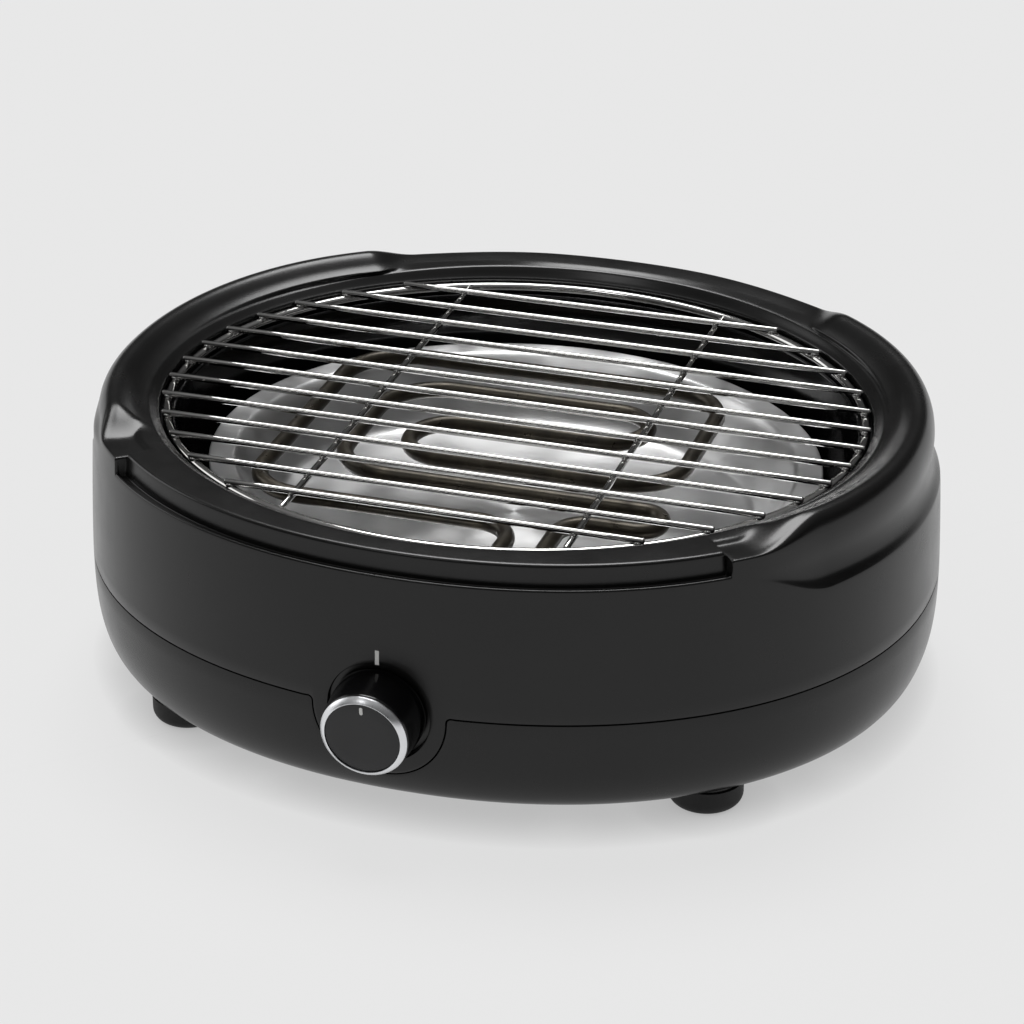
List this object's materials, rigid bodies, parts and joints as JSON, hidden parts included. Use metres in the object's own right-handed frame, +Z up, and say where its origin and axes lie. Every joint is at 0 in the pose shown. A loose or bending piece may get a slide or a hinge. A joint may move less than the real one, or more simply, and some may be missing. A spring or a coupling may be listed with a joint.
{
  "type": "countertop electric grill",
  "caption": "Oval countertop electric grill: plastic casing with a basin, drip tray, plug-in heating element and lift-out wire rack, and a thermostat knob at the front.",
  "frame": {"origin": "on the table, midway between the four feet", "axes": "+X to the right seen from the knob's side, +Y to the back, +Z up"},
  "size_m": [0.4066, 0.3782, 0.1429],
  "materials": {
    "casing": "satin",
    "basin_enamel": "gloss",
    "chromed_wire": "polished",
    "polished_tray": "polished",
    "sheath": "satin",
    "ceramic": "matte",
    "plain_steel": "satin",
    "phenolic": "satin",
    "brass": "satin",
    "knob_gloss": "gloss",
    "knob_metal": "polished",
    "knob_cap": "satin",
    "white_print": "matte",
    "foot_rubber": "matte",
    "terminal_white": "matte",
    "brown_lead": "satin",
    "blue_lead": "satin"
  },
  "bodies": {
    "housing": {"upper_shell": "casing", "lower_shell": "casing", "basin": "basin_enamel", "element_socket": "phenolic", "socket_contacts": "brass", "socket_bracket": "plain_steel", "thermostat_body": "phenolic", "thermostat_bushing": "brass", "thermostat_nut": "plain_steel", "dial_mark": "white_print", "feet": "foot_rubber", "foot_screws": "plain_steel", "shell_screws": "plain_steel", "basin_posts": "plain_steel", "post_screws": "plain_steel", "heat_shield": "plain_steel", "thermal_cutout": "ceramic", "terminal_block": "terminal_white", "terminal_screws": "brass", "cord_inlet": "foot_rubber", "inlet_lock_ring": "plain_steel", "live_lead": "brown_lead", "neutral_lead": "blue_lead", "socket_lead": "brown_lead"},
    "rack": {"rack_ring": "chromed_wire", "rack_bars": "chromed_wire", "rack_cross_wires": "chromed_wire"},
    "element": {"heating_tube": "sheath", "tube_end_collars": "ceramic", "contact_pins": "plain_steel"},
    "tray": {"drip_tray": "polished_tray"},
    "knob": {"knob_spindle": "plain_steel", "knob_barrel": "knob_gloss", "knob_ring": "knob_metal", "knob_cap": "knob_cap", "knob_pointer": "white_print"}
  },
  "joints": [
    {"name": "knob_turn", "type": "hinge", "parent": "housing", "child": "knob", "pos_m": [-0.006, -0.17775, 0.058], "axis": [0, 0.9976, 0.0698], "range_deg": [0, 270]},
    {"name": "rack_lift", "type": "slide", "parent": "housing", "child": "rack", "axis": [0, 0, 1], "range_m": [0, 0.16]},
    {"name": "element_lift", "type": "slide", "parent": "housing", "child": "element", "axis": [0, 0, 1], "range_m": [0, 0.1]},
    {"name": "tray_lift", "type": "slide", "parent": "housing", "child": "tray", "axis": [0, 0, 1], "range_m": [0, 0.05]}
  ],
  "couplings": [
    {"joint": "element_lift", "follows": "rack_lift", "ratio": 0.6},
    {"joint": "tray_lift", "follows": "rack_lift", "ratio": 0.3}
  ]
}
